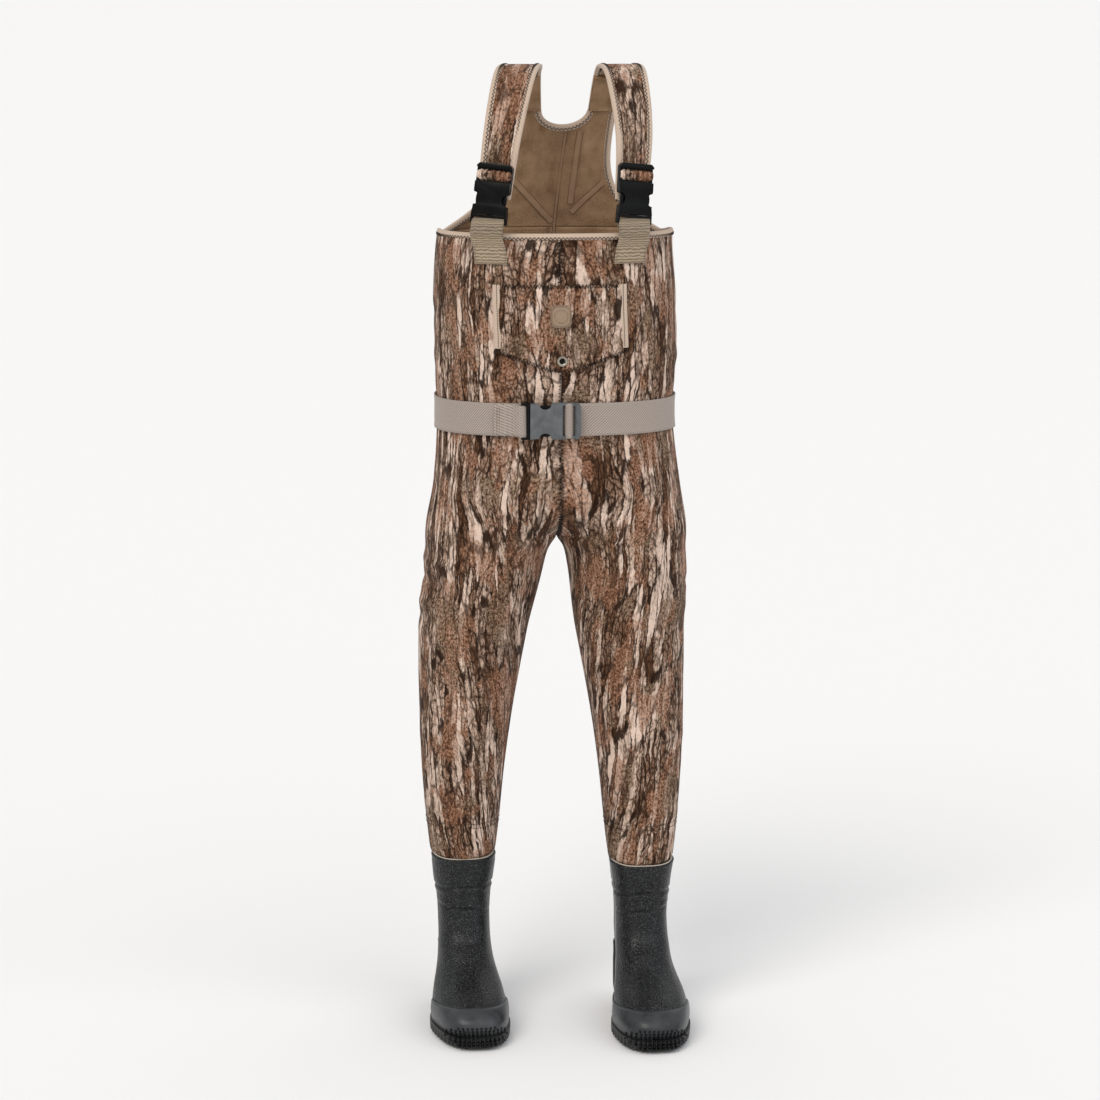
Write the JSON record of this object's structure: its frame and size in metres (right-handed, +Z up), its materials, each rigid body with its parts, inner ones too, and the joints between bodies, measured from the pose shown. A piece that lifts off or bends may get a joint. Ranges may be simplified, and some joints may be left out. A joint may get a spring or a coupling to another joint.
{
  "type": "chest waders",
  "caption": "Bootfoot neoprene chest waders in bark camouflage, with buckled shoulder straps, chest pocket, wader belt and rubber boots.",
  "frame": {"origin": "on the floor, under the middle of the bounding box, as the waders stand on their boots", "axes": "+Z up, -Y the way the chest faces, +X towards the wearer's left"},
  "size_m": [0.4204, 0.3737, 1.4965],
  "materials": {
    "camo_neoprene": "bark camouflage print on woven-faced neoprene, matt",
    "tan_binding": "tan knit binding with cover stitching",
    "olive_webbing": "olive-tan ribbed webbing",
    "grey_webbing": "warm grey twill webbing",
    "black_nylon": "moulded black nylon, satin",
    "black_rubber": "pebbled black boot rubber",
    "tread_rubber": "knobbed black outsole rubber",
    "nickel": "nickel-plated eyelet",
    "insole_felt": "grey felt insole"
  },
  "bodies": {
    "torso": {"back_belt_keeper": "camo_neoprene", "back_yoke": "camo_neoprene", "belt_buckle_plug": "black_nylon", "belt_webbing": "grey_webbing", "chest_pocket": "camo_neoprene", "drain_eyelet": "nickel", "front_rim_binding": "tan_binding", "left_armhole_binding": "tan_binding", "left_back_panel": "camo_neoprene", "left_buckle_plug": "black_nylon", "left_front_panel": "camo_neoprene", "left_front_tab": "olive_webbing", "left_hip_section": "camo_neoprene", "left_pocket_binding": "tan_binding", "left_shoulder_strap": "camo_neoprene", "neck_binding": "tan_binding", "pocket_patch": "olive_webbing", "right_armhole_binding": "tan_binding", "right_back_panel": "camo_neoprene", "right_buckle_plug": "black_nylon", "right_front_panel": "camo_neoprene", "right_front_tab": "olive_webbing", "right_hip_section": "camo_neoprene", "right_pocket_binding": "tan_binding", "right_shoulder_strap": "camo_neoprene"},
    "left_shoulder_catch": {"left_buckle_body": "black_nylon", "left_strap_loop": "camo_neoprene"},
    "left_thigh": {"left_thigh_section": "camo_neoprene", "left_knee_section": "camo_neoprene"},
    "left_shin": {"left_shin_section": "camo_neoprene", "left_boot_shaft": "black_rubber"},
    "left_foot": {"left_outsole": "tread_rubber", "left_boot_foot": "black_rubber", "left_insole": "insole_felt", "left_toe_cap": "black_rubber", "left_heel_counter": "black_rubber"},
    "left_arm_inner": {"left_latch_arm_inner": "black_nylon"},
    "left_arm_outer": {"left_latch_arm_outer": "black_nylon"},
    "right_shoulder_catch": {"right_buckle_body": "black_nylon", "right_strap_loop": "camo_neoprene"},
    "right_thigh": {"right_thigh_section": "camo_neoprene", "right_knee_section": "camo_neoprene"},
    "right_shin": {"right_shin_section": "camo_neoprene", "right_boot_shaft": "black_rubber"},
    "right_foot": {"right_outsole": "tread_rubber", "right_boot_foot": "black_rubber", "right_insole": "insole_felt", "right_toe_cap": "black_rubber", "right_heel_counter": "black_rubber"},
    "right_arm_inner": {"right_latch_arm_inner": "black_nylon"},
    "right_arm_outer": {"right_latch_arm_outer": "black_nylon"},
    "belt_catch": {"belt_buckle_body": "black_nylon", "belt_strap_loop": "grey_webbing"},
    "belt_arm_upper": {"belt_latch_arm_upper": "black_nylon"},
    "belt_arm_lower": {"belt_latch_arm_lower": "black_nylon"}
  },
  "joints": [
    {"name": "left_buckle_release", "type": "slide", "parent": "torso", "child": "left_shoulder_catch", "axis": [0.0582, 0.1302, 0.9898], "range_m": [0, 0.034]},
    {"name": "left_latch_inner", "type": "hinge", "parent": "torso", "child": "left_arm_inner", "pos_m": [0.09606, -0.0779, 1.27972], "axis": [-0.3405, 0.9346, -0.103], "range_deg": [0, 9.7]},
    {"name": "left_latch_outer", "type": "hinge", "parent": "torso", "child": "left_arm_outer", "pos_m": [0.12985, -0.06599, 1.27617], "axis": [0.3405, -0.9346, 0.103], "range_deg": [0, 9.7]},
    {"name": "right_buckle_release", "type": "slide", "parent": "torso", "child": "right_shoulder_catch", "axis": [0.1403, 0.1292, 0.9816], "range_m": [0, 0.034]},
    {"name": "right_latch_inner", "type": "hinge", "parent": "torso", "child": "right_arm_inner", "pos_m": [-0.08278, -0.07816, 1.27702], "axis": [-0.3312, -0.9282, 0.1695], "range_deg": [0, 9.7]},
    {"name": "right_latch_outer", "type": "hinge", "parent": "torso", "child": "right_arm_outer", "pos_m": [-0.11637, -0.0656, 1.28017], "axis": [0.3312, 0.9282, -0.1695], "range_deg": [0, 9.7]},
    {"name": "belt_buckle_release", "type": "slide", "parent": "torso", "child": "belt_catch", "axis": [1, 0, 0], "range_m": [0, 0.034]},
    {"name": "belt_latch_upper", "type": "hinge", "parent": "torso", "child": "belt_arm_upper", "pos_m": [-0.04, -0.08261, 0.98598], "axis": [0, 0.999, 0.045], "range_deg": [0, 9.7]},
    {"name": "belt_latch_lower", "type": "hinge", "parent": "torso", "child": "belt_arm_lower", "pos_m": [-0.04, -0.08099, 0.95002], "axis": [0, -0.999, -0.045], "range_deg": [0, 9.7]},
    {"name": "left_hip", "type": "hinge", "parent": "torso", "child": "left_thigh", "pos_m": [0.104, 0.054, 0.8], "axis": [-1, 0, 0], "range_deg": [-15, 60], "deforming": ["left_hip_section"]},
    {"name": "left_knee", "type": "hinge", "parent": "left_thigh", "child": "left_shin", "pos_m": [0.134, 0.045, 0.49], "axis": [1, 0, 0], "range_deg": [0, 70], "deforming": ["left_knee_section"]},
    {"name": "left_ankle", "type": "hinge", "parent": "left_shin", "child": "left_foot", "pos_m": [0.14, 0.038, 0.12], "axis": [1, 0, 0], "range_deg": [-15, 20], "deforming": ["left_boot_shaft"]},
    {"name": "right_hip", "type": "hinge", "parent": "torso", "child": "right_thigh", "pos_m": [-0.104, 0.054, 0.8], "axis": [-1, 0, 0], "range_deg": [-15, 60], "deforming": ["right_hip_section"]},
    {"name": "right_knee", "type": "hinge", "parent": "right_thigh", "child": "right_shin", "pos_m": [-0.134, 0.063, 0.49], "axis": [1, 0, 0], "range_deg": [0, 70], "deforming": ["right_knee_section"]},
    {"name": "right_ankle", "type": "hinge", "parent": "right_shin", "child": "right_foot", "pos_m": [-0.14, 0.07, 0.12], "axis": [1, 0, 0], "range_deg": [-15, 20], "deforming": ["right_boot_shaft"]}
  ],
  "couplings": [
    {"joint": "left_latch_inner", "follows": "left_buckle_release", "rad_per_m": 4.9743},
    {"joint": "left_latch_outer", "follows": "left_buckle_release", "rad_per_m": 4.9743},
    {"joint": "right_latch_inner", "follows": "right_buckle_release", "rad_per_m": 4.9743},
    {"joint": "right_latch_outer", "follows": "right_buckle_release", "rad_per_m": 4.9743},
    {"joint": "belt_latch_upper", "follows": "belt_buckle_release", "rad_per_m": 4.9743},
    {"joint": "belt_latch_lower", "follows": "belt_buckle_release", "rad_per_m": 4.9743}
  ]
}
